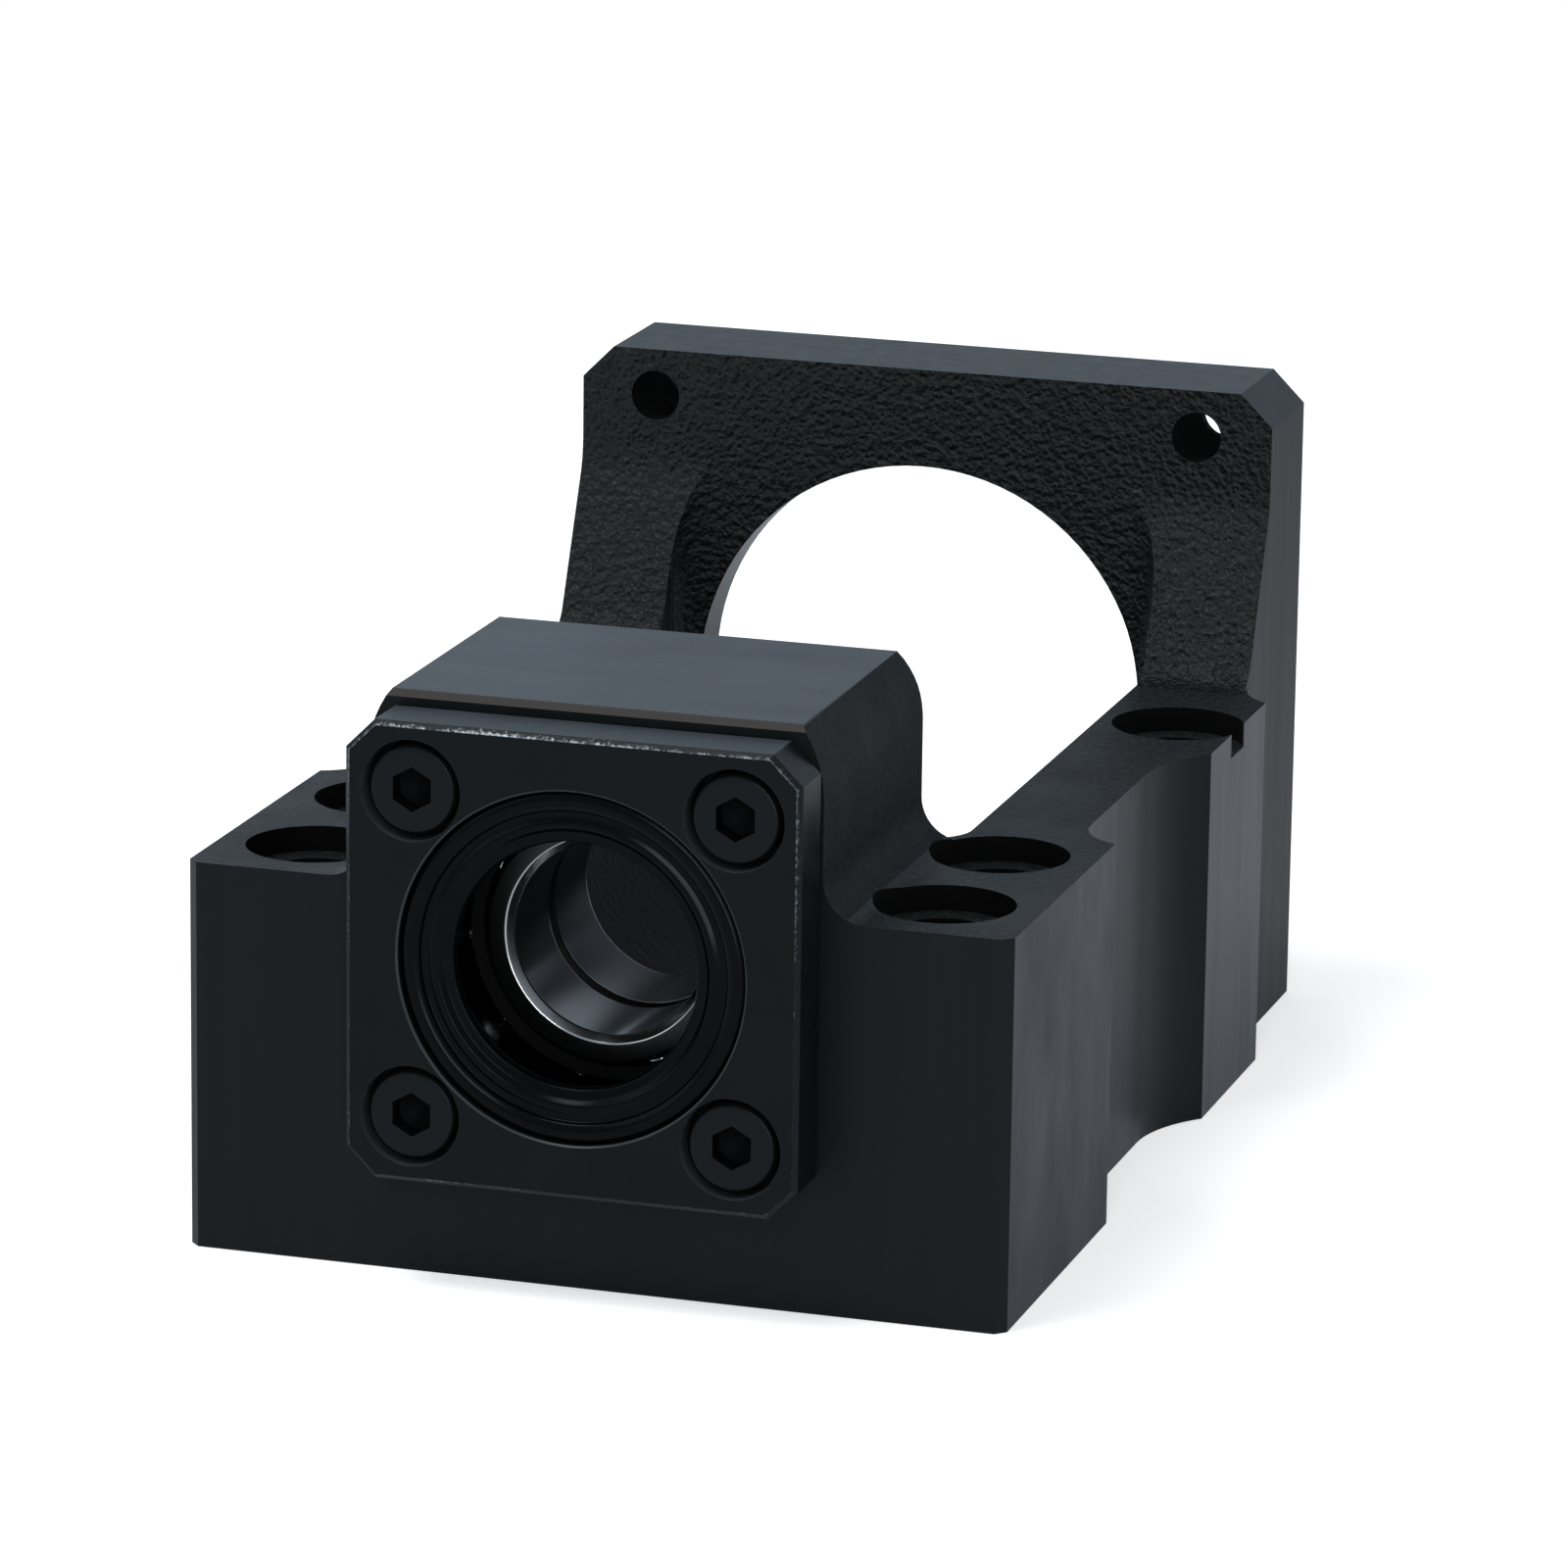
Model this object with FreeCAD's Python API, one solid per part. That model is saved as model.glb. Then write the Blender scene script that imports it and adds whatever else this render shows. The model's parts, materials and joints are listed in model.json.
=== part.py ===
import FreeCAD, Part
import math
import os

V = FreeCAD.Vector

# Driving dimensions in millimetres.
# Build frame: x across, y back from the block's front face, z up from the base.

# Bearings, a face-to-face pair of single-row angular contact bearings
bearing_bore = 15.0
bearing_outer = 28.0
bearing_width = 9.0
bearing_front = 3.4          # first bearing's face, behind the block's face
ring_chamfer = 0.6
ring_gap = 0.2               # between the inner rings until the shaft's nut clamps them
ball_share = 0.61            # ball diameter over the ring section's height
ball_space = 2.0             # least space from ball to ball round the pitch circle
race_clearance = 0.1
shoulder_share = 0.21        # raceway depth over ball diameter
relief = 0.6                 # depth of the open shoulder below the full one
cage_share = 0.25            # cage thickness over ball diameter
cage_bar = 1.1               # cage width past a pocket, each side
pocket_clearance = 0.12

# Seals and the shaft collars that their lips run on
collar_wall = 1.9
seal_step = 0.4              # seal's seat inside the bearing's outer radius
seal_thickness = 4.0
seal_recess = 0.25           # seal's face below the cover's face
seal_rim = 1.2
seal_lip_band = 1.3
seal_relief = 0.5            # each step down from rim to web to lip
rear_seal_step = 1.0         # rear seal's seat outside the shoulder's bore
rear_seal_thickness = 2.6

# Bearing cover and its low-head socket screws
cover_gap = 0.5              # clamping gap between the cover and the block
cover_floor = 1.6            # left under a screw head
cover_bevel = 0.4
cover_corner = 2.3
cover_edge_land = 1.3        # from a counterbore to the cover's edge
seal_land = 0.32             # from a counterbore to the seal's seat
seat_wall = 1.0              # least wall from a screw hole to the bearing seat
screw_diameter = 4.0
screw_length = 12.0
screw_head = 7.0
screw_head_height = 2.8
screw_head_round = 0.45
screw_socket = 3.0           # across flats
screw_socket_depth = 1.6
screw_point_angle = 31.0
screw_head_clearance = 0.4
screw_sunk = 0.4             # head below the cover's face
screw_clearance = 0.25       # round the shank, in the cover
thread_clearance = 0.02
screw_hole_spare = 1.5

# Block, waist and rear feet, as seen from above
axis_height = 26.5
block_width = 65.0
block_depth = 29.0
shelf_height = 30.5
edge_bevel = 0.8
waist_recess = 3.25
ear_root = 5.0               # concave root behind the block and behind the feet
foot_root = 12.0             # concave root ahead of the rear feet
foot_length = 17.8
foot_to_plate = 9.8

# Bearing boss
boss_margin = 0.1            # past the cover at the sides
boss_rise = 1.05             # above the cover
boss_round = 9.5             # cast round along the sides
boss_rear_round = 8.0        # cast round along the back
boss_trim = 3.9              # milled off the top of the rounds
boss_bevel = 0.5             # along the front of the milled top
boss_root = 3.3
seat_clearance = 0.02
shoulder_thickness = 1.8     # housing wall behind the rear bearing
shoulder_lip = 0.5           # shoulder inside the outer ring's land

# Coupling pocket
pocket_width = 42.0
pocket_length = 60.2
pocket_corner = 3.4

# Motor plate
motor_hole_spacing = 47.14
motor_hole = 4.2
lower_hole_depth = 15.0
plate_side_edge = 6.43       # from a motor hole's centre to the plate's side
plate_top_edge = 3.93        # from a motor hole's centre to the plate's top
plate_thickness = 11.0
plate_chamfer = 2.7
pilot_bore = 38.5
motor_recess = 44.0
motor_recess_depth = 6.5     # ahead of the motor's face

# Gussets that carry the plate on the side rails
gusset_height = 13.8
gusset_reach = 6.0
gusset_root = 3.0
gusset_crown = 8.0

# Base bolts
base_bolt_spacing = 50.0
base_bolt_first = 8.0
base_bolt_pitch = 15.0
rear_bolt_spacing = 55.0
rear_bolt_place = 8.6        # behind the front edge of the foot
base_hole = 6.6
spot_face = 10.8
spot_depth = 2.0

# Overlap of fused shapes, and overrun of cuts
bite = 1.0
# Smallest length that counts as a difference
tiny = 1e-6

# Sizes that follow from the driving dimensions
section_height = (bearing_outer - bearing_bore) / 2
pitch_radius = (bearing_outer + bearing_bore) / 4
ball_diameter = ball_share * section_height
ball_count = int(2 * math.pi * pitch_radius / (ball_diameter + ball_space))
race_radius = ball_diameter / 2 + race_clearance
outer_land = pitch_radius + race_radius - shoulder_share * ball_diameter
inner_land = pitch_radius - race_radius + shoulder_share * ball_diameter
bearing_joint = bearing_front + bearing_width
bearing_rear = bearing_joint + bearing_width
seal_radius = bearing_outer / 2 - seal_step
lip_radius = bearing_bore / 2 + collar_wall
shoulder_radius = outer_land - shoulder_lip
rear_seal_radius = shoulder_radius + rear_seal_step
head_bore_radius = screw_head / 2 + screw_head_clearance
screw_circle = max(
    seal_radius + seal_land + head_bore_radius,
    bearing_outer / 2 + seat_wall + screw_diameter / 2,
)
screw_offset = screw_circle / math.sqrt(2)
cover_half = screw_offset + head_bore_radius + cover_edge_land
cover_front = -(cover_gap + screw_sunk + screw_head_height + cover_floor)
screw_seat = cover_front + screw_sunk + screw_head_height
boss_half = cover_half + boss_margin
boss_top = axis_height + cover_half + boss_rise
boss_depth = bearing_rear + shoulder_thickness + rear_seal_thickness
pocket_half = pocket_width / 2
plate_front = boss_depth + pocket_length
motor_face = plate_front + plate_thickness
plate_half = motor_hole_spacing / 2 + plate_side_edge
plate_top = axis_height + motor_hole_spacing / 2 + plate_top_edge
foot_rear = plate_front - foot_to_plate
foot_front = foot_rear - foot_length
middle_y = (motor_face + cover_front) / 2


def cylinder_y(radius, start, end, x=0.0, z=axis_height):
    return Part.makeCylinder(radius, end - start, V(x, start, z), V(0, 1, 0))


def cylinder_z(radius, low, high, x, y):
    return Part.makeCylinder(radius, high - low, V(x, y, low))


def mirrored(shape):
    return shape.mirror(V(0, 0, 0), V(1, 0, 0))


def line(start, end):
    return Part.LineSegment(start, end).toShape()


def arc(start, middle, end):
    return Part.Arc(start, middle, end).toShape()


def path(points):
    return [line(start, end) for start, end in zip(points, points[1:])]


def face_of(edges):
    return Part.Face(Part.Wire(Part.sortEdges(edges)[0]))


def polygon(points):
    return Part.Face(Part.makePolygon(points + points[:1]))


# A point of a turned outline, drawn straight above the screw axis.
def above_axis(radius, y):
    return V(0, y, axis_height + radius)


def turned(outline):
    return outline.revolve(V(0, 0, axis_height), V(0, 1, 0), 360)


# Tangent points and middle of a round at a corner.
def round_corner(before, corner, after, radius):
    to_before = (before - corner).normalize()
    to_after = (after - corner).normalize()
    half_angle = to_before.getAngle(to_after) / 2
    reach = radius / math.tan(half_angle)
    bisector = (to_before + to_after).normalize()
    middle = corner + bisector * (radius / math.sin(half_angle) - radius)
    return corner + to_before * reach, middle, corner + to_after * reach


# Arc from the edge of one side face to the next, which lies deeper, or further out for a negative depth.
def concave_root(outer, depth, radius, toward):
    inward = math.copysign(1, depth)
    rest = radius - abs(depth)
    run = math.sqrt(radius ** 2 - rest ** 2)
    inner = V(outer.x - depth, outer.y + toward * run, 0)
    centre = inner + V(inward * radius, 0, 0)
    half_angle = math.acos(rest / radius) / 2
    across = inward * radius * math.cos(half_angle)
    middle = centre - V(across, toward * radius * math.sin(half_angle), 0)
    return arc(outer, middle, inner), inner


def plan_outline():
    half = block_width / 2
    front = V(half - edge_bevel, 0, 0)
    side = V(half, edge_bevel, 0)
    ear = V(half, block_depth, 0)
    foot = V(half, foot_front, 0)
    heel = V(half, foot_rear, 0)
    back = V(plate_half, motor_face, 0)
    ear_arc, waist_start = concave_root(ear, waist_recess, ear_root, 1)
    foot_arc, waist_end = concave_root(foot, waist_recess, foot_root, -1)
    heel_arc, plate_start = concave_root(heel, half - plate_half, ear_root, 1)
    right = path([front, side, ear]) + path([waist_start, waist_end]) + path([foot, heel])
    right += path([plate_start, back]) + [ear_arc, foot_arc, heel_arc]
    ends = [line(front, V(-front.x, front.y, 0)), line(back, V(-back.x, back.y, 0))]
    return face_of(right + [mirrored(edge) for edge in right] + ends)


# Section of the boss across the mount: filleted root, rounded shoulder, milled flat.
def boss_section():
    crown = V(boss_half - boss_round, 0, boss_top + boss_trim - boss_round)
    crown_angle = math.asin((boss_top - crown.z) / boss_round)
    root = min(boss_root, crown.z - shelf_height - bite / 2)

    def on_crown(angle):
        return crown + V(boss_round * math.cos(angle), 0, boss_round * math.sin(angle))

    flat = on_crown(crown_angle)
    wall = V(boss_half, 0, shelf_height)
    foot = wall + V(root, 0, 0)
    low = foot - V(0, 0, bite)
    root_top, root_middle, root_foot = round_corner(on_crown(0), wall, foot, root)
    right = [
        line(low, root_foot),
        arc(root_foot, root_middle, root_top),
        line(root_top, on_crown(0)),
        arc(on_crown(0), on_crown(crown_angle / 2), flat),
    ]
    ends = [line(flat, V(-flat.x, 0, flat.z)), line(low, V(-low.x, 0, low.z))]
    return face_of(right + [mirrored(edge) for edge in right] + ends)


# That section run front to back, under a side outline bevelled at the front and rounded at the rear.
def boss():
    full_top = boss_top + boss_trim
    reach = boss_half + boss_root + bite
    low_front = V(-reach, 0, 0)
    low_rear = V(-reach, boss_depth, 0)
    bevel_front = V(-reach, 0, boss_top - boss_bevel)
    bevel_back = V(-reach, boss_bevel + boss_trim, full_top)
    corner = V(-reach, boss_depth, full_top)
    top, middle, rear = round_corner(bevel_back, corner, low_rear, boss_rear_round)
    front = path([rear, low_rear, low_front, bevel_front, bevel_back, top])
    side = face_of(front + [arc(top, middle, rear)])
    return boss_section().extrude(V(0, boss_depth, 0)).common(side.extrude(V(2 * reach, 0, 0)))


# Round-bottomed trough about the screw axis, with cast rounds at both ends.
def coupling_pocket():
    left = V(-pocket_half, boss_depth, axis_height)
    right = V(pocket_half, boss_depth, axis_height)
    bottom = V(0, boss_depth, axis_height - pocket_half)
    rise = V(0, 0, plate_top - axis_height)
    section = face_of([arc(left, bottom, right)] + path([right, right + rise, left + rise, left]))
    trough = section.extrude(V(0, pocket_length, 0))
    ends = []
    for edge in trough.Edges:
        across_an_end = edge.BoundBox.YLength < tiny
        if across_an_end and edge.BoundBox.ZMin < plate_top - tiny:
            ends.append(edge)
    return trough.makeFillet(pocket_corner, ends)


def motor_plate():
    inset = plate_half - plate_chamfer
    shoulder = plate_top - plate_chamfer
    corners = [
        (-plate_half, 0), (plate_half, 0), (plate_half, shoulder),
        (inset, plate_top), (-inset, plate_top), (-plate_half, shoulder),
    ]
    return polygon([V(x, plate_front, z) for x, z in corners]).extrude(V(0, plate_thickness, 0))


# Right-hand web from the side rail up the face of the plate. The pocket's cut trims its inner side.
def gusset():
    x = pocket_half - pocket_corner
    above = V(x, plate_front, plate_top)
    head = V(x, plate_front, shelf_height + gusset_height)
    toe = V(x, plate_front - gusset_reach, shelf_height)
    ahead = V(x, block_depth, shelf_height)
    head_top, head_middle, slope_top = round_corner(above, head, toe, gusset_crown)
    slope_end, toe_middle, toe_front = round_corner(head, toe, ahead, gusset_root)
    sunk = toe_front - V(0, 0, bite)
    behind = V(x, plate_front + bite, sunk.z)
    top_behind = V(x, plate_front + bite, head_top.z)
    section = face_of(
        [arc(head_top, head_middle, slope_top), arc(slope_end, toe_middle, toe_front)]
        + path([slope_top, slope_end]) + path([toe_front, sunk, behind, top_behind, head_top]))
    return section.extrude(V(plate_half - x, 0, 0))


def base_bolt_places():
    front = [base_bolt_first, base_bolt_first + base_bolt_pitch]
    right = [(base_bolt_spacing / 2, y) for y in front]
    right.append((rear_bolt_spacing / 2, foot_front + rear_bolt_place))
    return right + [(-x, y) for x, y in right]


def cover_screw_places():
    return [(x * screw_offset, axis_height + z * screw_offset) for x in (-1, 1) for z in (-1, 1)]


def bearing_seat_cuts():
    rear_seat = rear_seal_radius + seat_clearance
    return [
        cylinder_y(bearing_outer / 2 + seat_clearance, -bite, bearing_rear),
        cylinder_y(shoulder_radius, bearing_rear - bite, boss_depth + bite),
        cylinder_y(rear_seat, boss_depth - rear_seal_thickness, boss_depth + bite),
    ]


def base_bolt_cuts():
    cuts = []
    for x, y in base_bolt_places():
        cuts.append(cylinder_z(base_hole / 2, -bite, shelf_height, x, y))
        cuts.append(cylinder_z(spot_face / 2, shelf_height - spot_depth, boss_top, x, y))
    return cuts


def cover_screw_cuts():
    radius = screw_diameter / 2 + thread_clearance
    end = screw_seat + screw_length + screw_hole_spare
    return [cylinder_y(radius, -bite, end, x, z) for x, z in cover_screw_places()]


# The upper motor holes go right through the plate, the lower ones are blind.
def motor_cuts():
    half = motor_hole_spacing / 2
    recess_floor = motor_face - motor_recess_depth
    cuts = [
        cylinder_y(pilot_bore / 2, plate_front - pocket_corner, motor_face),
        cylinder_y(motor_recess / 2, recess_floor, motor_face + bite),
    ]
    for x in (-half, half):
        for start, z in ((plate_front - bite, half), (motor_face - lower_hole_depth, -half)):
            cuts.append(cylinder_y(motor_hole / 2, start, motor_face + bite, x, axis_height + z))
    return cuts


def housing():
    web = gusset()
    body = plan_outline().extrude(V(0, 0, shelf_height))
    body = body.fuse([boss(), motor_plate(), web, mirrored(web)]).cut(coupling_pocket()).removeSplitter()
    cuts = bearing_seat_cuts() + base_bolt_cuts() + cover_screw_cuts() + motor_cuts()
    return body.cut(cuts).removeSplitter()


def cover_flange():
    inset = cover_half - cover_corner
    corners = [
        (-inset, -cover_half), (inset, -cover_half), (cover_half, -inset), (cover_half, inset),
        (inset, cover_half), (-inset, cover_half), (-cover_half, inset), (-cover_half, -inset),
    ]
    outline = polygon([V(x, cover_front, axis_height + z) for x, z in corners])
    flange = outline.extrude(V(0, -cover_gap - cover_front, 0))
    rim = [edge for edge in flange.Edges if edge.BoundBox.YMax < cover_front + tiny]
    return flange.makeChamfer(cover_bevel, rim)


# Square flange, a spigot that holds the bearings in, and the seal's seat with its lead-in.
def bearing_cover():
    spigot = cylinder_y(bearing_outer / 2 - seat_clearance, -cover_gap - cover_floor / 2, bearing_front)
    lead = seal_land / 2
    lead_in = [
        above_axis(0, cover_front - lead), above_axis(seal_radius + 2 * lead, cover_front - lead),
        above_axis(seal_radius, cover_front + lead), above_axis(0, cover_front + lead),
    ]
    cuts = [
        cylinder_y(seal_radius, cover_front - bite, cover_front + seal_recess + seal_thickness),
        cylinder_y((outer_land + seal_radius) / 2, cover_front, bearing_front + bite),
        turned(polygon(lead_in)),
    ]
    for x, z in cover_screw_places():
        cuts.append(cylinder_y(head_bore_radius, cover_front - bite, screw_seat, x, z))
        cuts.append(cylinder_y(screw_diameter / 2 + screw_clearance, cover_front, bearing_front, x, z))
    return cover_flange().fuse(spigot).cut(cuts).removeSplitter()


def hex_socket(x, z, front):
    corner = screw_socket / math.sqrt(3)
    angles = [k * math.pi / 3 for k in range(6)]
    outline = [V(x + corner * math.sin(a), front - bite, z + corner * math.cos(a)) for a in angles]
    bottom = V(x, front + screw_socket_depth, z)
    point = screw_socket / 2 * math.tan(math.radians(screw_point_angle))
    prism = polygon(outline).extrude(V(0, bite + screw_socket_depth, 0))
    return [prism, Part.makeCone(screw_socket / 2, 0, point, bottom, V(0, 1, 0))]


def cover_screw(x, z):
    front = screw_seat - screw_head_height
    head = cylinder_y(screw_head / 2, front, screw_seat, x, z)
    rim = [edge for edge in head.Edges if edge.BoundBox.YMax < front + tiny]
    shank = cylinder_y(screw_diameter / 2, screw_seat - bite / 2, screw_seat + screw_length, x, z)
    return head.makeFillet(screw_head_round, rim).fuse(shank).cut(hex_socket(x, z, front))


# Moulded seal: stiff rim, thinner web and a leaning lip. Outward is the way its face looks along y.
def lip_seal(outside, face, thickness, outward):
    web_in = lip_radius + seal_lip_band
    rim_in = outside - seal_rim
    outline = [
        (outside, 0), (rim_in, 0), (rim_in - seal_relief / 2, seal_relief),
        (web_in, seal_relief), (web_in - seal_relief, 2 * seal_relief),
        (lip_radius + seal_relief / 2, 2 * seal_relief), (lip_radius, 3 * seal_relief),
        (lip_radius + seal_relief, 5 * seal_relief), (web_in, 5 * seal_relief),
        (rim_in, thickness), (outside, thickness),
    ]
    return turned(polygon([above_axis(radius, face - outward * depth) for radius, depth in outline]))


# Groove between two shoulders, outward being 1 in an outer ring and -1 in an inner one.
def raceway(first_land, last_land, centre, outward):
    def groove_edge(land, side):
        run = math.sqrt(race_radius ** 2 - (land - pitch_radius) ** 2)
        return above_axis(land, centre + side * run)

    start = groove_edge(first_land, -1)
    end = groove_edge(last_land, 1)
    return arc(start, above_axis(pitch_radius + outward * race_radius, centre), end), start, end


# One full shoulder takes the thrust, the other is relieved so that the balls can go in.
def outer_ring(front, open_front):
    back = front + bearing_width
    lands = [outer_land + relief, outer_land]
    first_land, last_land = lands if open_front else lands[::-1]
    groove, start, end = raceway(first_land, last_land, (front + back) / 2, 1)
    outside = bearing_outer / 2
    shallow = outside - ring_chamfer
    corners = [
        end, above_axis(last_land, back), above_axis(shallow, back),
        above_axis(outside, back - ring_chamfer), above_axis(outside, front + ring_chamfer),
        above_axis(shallow, front), above_axis(first_land, front), start,
    ]
    return turned(face_of([groove] + path(corners)))


def inner_ring(front, back, centre):
    groove, start, end = raceway(inner_land, inner_land, centre, -1)
    bore = bearing_bore / 2
    deep = bore + ring_chamfer
    corners = [
        end, above_axis(inner_land, back), above_axis(deep, back), above_axis(bore, back - ring_chamfer),
        above_axis(bore, front + ring_chamfer), above_axis(deep, front),
        above_axis(inner_land, front), start,
    ]
    return turned(face_of([groove] + path(corners)))


def ball_places(centre):
    angles = [2 * math.pi * k / ball_count for k in range(ball_count)]
    middle = V(0, centre, axis_height)
    return [middle + V(math.sin(a), 0, math.cos(a)) * pitch_radius for a in angles]


# Moulded cage: a band with a round pocket for each ball.
def cage(centre):
    half_thickness = cage_share * ball_diameter / 2
    pocket_radius = ball_diameter / 2 + pocket_clearance
    start = centre - pocket_radius - cage_bar
    end = centre + pocket_radius + cage_bar
    outside = pitch_radius + half_thickness
    band = cylinder_y(outside, start, end).cut(cylinder_y(pitch_radius - half_thickness, start, end))
    middle = V(0, centre, axis_height)
    drills = [Part.makeCylinder(pocket_radius, outside + bite, middle, place - middle)
              for place in ball_places(centre)]
    return band.cut(drills)


def bearing(name, front, inner_front, inner_back, open_front):
    centre = front + bearing_width / 2
    nodes = {
        name + "_outer_ring": outer_ring(front, open_front),
        name + "_inner_ring": inner_ring(inner_front, inner_back, centre),
        name + "_cage": cage(centre),
    }
    for number, place in enumerate(ball_places(centre), start=1):
        nodes["%s_ball_%02d" % (name, number)] = Part.makeSphere(ball_diameter / 2, place)
    return nodes


def all_nodes():
    half_gap = ring_gap / 2
    front_face = cover_front + seal_recess
    nodes = {
        "housing": housing(),
        "bearing_cover": bearing_cover(),
        "cover_screws": Part.makeCompound([cover_screw(x, z) for x, z in cover_screw_places()]),
        "front_seal": lip_seal(seal_radius - seat_clearance, front_face, seal_thickness, -1),
        "rear_seal": lip_seal(rear_seal_radius, boss_depth, rear_seal_thickness, 1),
    }
    nodes.update(bearing("front", bearing_front, bearing_front, bearing_joint - half_gap, True))
    nodes.update(bearing("rear", bearing_joint, bearing_joint + half_gap, bearing_rear, False))
    return nodes


# The stored origin is on the base, under the middle of the whole mount.
os.makedirs("parts", exist_ok=True)
for node, shape in all_nodes().items():
    shape.translate(V(0, -middle_y, 0))
    shape.exportStep("parts/%s.step" % node)
    print(node, len(shape.Solids), round(shape.Volume, 2), shape.isValid())
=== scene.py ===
import json
import math

import bmesh
import bpy
from mathutils import Matrix, Quaternion, Vector


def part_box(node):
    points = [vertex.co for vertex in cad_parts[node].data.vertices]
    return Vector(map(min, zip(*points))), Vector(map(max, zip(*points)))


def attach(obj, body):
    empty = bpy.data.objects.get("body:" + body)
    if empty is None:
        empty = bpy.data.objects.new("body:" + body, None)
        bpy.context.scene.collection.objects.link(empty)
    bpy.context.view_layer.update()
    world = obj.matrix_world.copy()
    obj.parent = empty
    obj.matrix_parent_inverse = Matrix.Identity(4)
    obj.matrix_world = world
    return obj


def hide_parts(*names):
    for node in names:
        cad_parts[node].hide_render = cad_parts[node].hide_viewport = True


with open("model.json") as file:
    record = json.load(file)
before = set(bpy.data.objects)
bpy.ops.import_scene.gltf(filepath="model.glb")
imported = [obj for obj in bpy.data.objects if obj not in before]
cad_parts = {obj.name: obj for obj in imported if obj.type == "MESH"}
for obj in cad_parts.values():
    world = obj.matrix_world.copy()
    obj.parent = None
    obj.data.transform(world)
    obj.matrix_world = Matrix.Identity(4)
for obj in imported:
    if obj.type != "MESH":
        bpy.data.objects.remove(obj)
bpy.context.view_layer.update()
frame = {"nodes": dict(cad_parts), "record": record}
nodes = frame["nodes"]
scene = bpy.context.scene
mounts = {mount["name"]: mount for mount in frame["record"]["mounts"]}
mm = 0.001
print("frame loaded:", len(nodes), "nodes")

# where the main faces lie, in mm: across from the middle, back from the block's front, up from the base
casting = {
    "axisHeight": mounts["pilot_bore"]["pos_m"][2] / mm,
    "shelf": 30.5,
    "bossTop": 45.35,
    "bossDepth": 25.8,
    "blockDepth": 29.0,
    "pocketHalf": 21.0,
    "plateFront": 86.0,
    "motorFace": 97.0,
    "plateHalf": 30.0,
    "plateTop": 54.0,
    "gussetToe": 77.9,
    "boltHoles": [(25, 8), (25, 23), (27.5, 67)],
    "spotRadius": 5.4,
    "recessRadius": mounts["motor_recess"]["dims"]["r_mm"],
    "motorHole": mounts["motor_bolts"]["dims"]["spacing_x_mm"] / 2,
    "motorHoleRadius": mounts["motor_bolts"]["dims"]["hole_r_mm"],
    "blindDepth": 15.0,
    "seatReach": 15.0,          # just past the bearing seat's wall
    "motorHoleReach": 2.7,      # just past the root of a motor hole's thread
    "footReach": 32.0,          # just inside the feet's sides
    "bevelReach": 1.0,          # the block's bevels end within this depth
    "plateBevelReach": 3.0,
    "near": 0.1,                # a face this close to a line counts as on it
    "edge": 0.15,
}
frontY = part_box("housing")[0].y     # the block's front face in the frame
axisPoint = Vector((0, 0, casting["axisHeight"] * mm))


# sRGB hex to the linear colour that shaders take
def linear(hexCode):
    parts = [int(hexCode[i:i + 2], 16) / 255 for i in (1, 3, 5)]
    values = [part / 12.92 if part <= 0.04045 else ((part + 0.055) / 1.055) ** 2.4 for part in parts]
    return (*values, 1.0)


# one node with its settings and its links
def addNode(tree, kind, settings=(), links=()):
    node = tree.nodes.new(kind)
    for key, value in dict(settings).items():
        if isinstance(key, str) and hasattr(node, key):
            setattr(node, key, value)
        else:
            node.inputs[key].default_value = value
    for socket, source in dict(links).items():
        tree.links.new(source, node.inputs[socket])
    return node


def newMaterial(name, shaderSettings):
    material = bpy.data.materials.new(name)
    material.use_nodes = True
    tree = material.node_tree
    tree.nodes.clear()
    shader = addNode(tree, "ShaderNodeBsdfPrincipled", shaderSettings)
    addNode(tree, "ShaderNodeOutputMaterial", links={"Surface": shader.outputs[0]})
    return material, tree, shader


noiseRange = (0.3, 0.7)         # where most of a noise texture's values lie
aroundAxis = (0.02, 1, 0.02)    # draws a texture out into rings round the screw axis

sandCasting = {
    "dark": "#060707", "light": "#161817",
    "lumpMm": 0.7, "pitMm": 0.5, "pitShare": 0.4, "heightMm": 0.4,
    "roughness": 0.33, "gloss": 0.13,
}
pocketCasting = {
    "dark": "#0a0a0a", "light": "#181817",
    "lumpMm": 0.8, "pitMm": 0.55, "pitShare": 0.4, "heightMm": 0.12,
    "roughness": 0.55, "gloss": 0.018,
}


# Grey iron cast in sand, then blackened: a lumpy skin that breaks the light into small dull glints
def blackenedSandCasting(name, look):
    material, tree, shader = newMaterial(name, {
        "Roughness": look["roughness"], "Specular IOR Level": look["gloss"]})
    place = addNode(tree, "ShaderNodeTexCoord").outputs["Object"]
    lumps = addNode(tree, "ShaderNodeTexNoise", {
        "Scale": 1 / (look["lumpMm"] * mm), "Detail": 3.0, "Roughness": 0.55}, {"Vector": place})
    pits = addNode(tree, "ShaderNodeTexVoronoi", {
        "feature": "SMOOTH_F1", "Scale": 1 / (look["pitMm"] * mm), "Smoothness": 0.5}, {"Vector": place})
    height = addNode(tree, "ShaderNodeMath", {"operation": "MULTIPLY_ADD", 1: look["pitShare"]}, {
        0: pits.outputs["Distance"], 2: lumps.outputs["Fac"]})
    bump = addNode(tree, "ShaderNodeBump", {"Strength": 1.0, "Distance": look["heightMm"] * mm}, {
        "Height": height.outputs[0]})
    tone = addNode(tree, "ShaderNodeMix", {
        "data_type": "RGBA", 6: linear(look["dark"]), 7: linear(look["light"])}, {
        0: lumps.outputs["Fac"]})
    tree.links.new(tone.outputs[2], shader.inputs["Base Color"])
    tree.links.new(bump.outputs[0], shader.inputs["Normal"])
    return material


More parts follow.
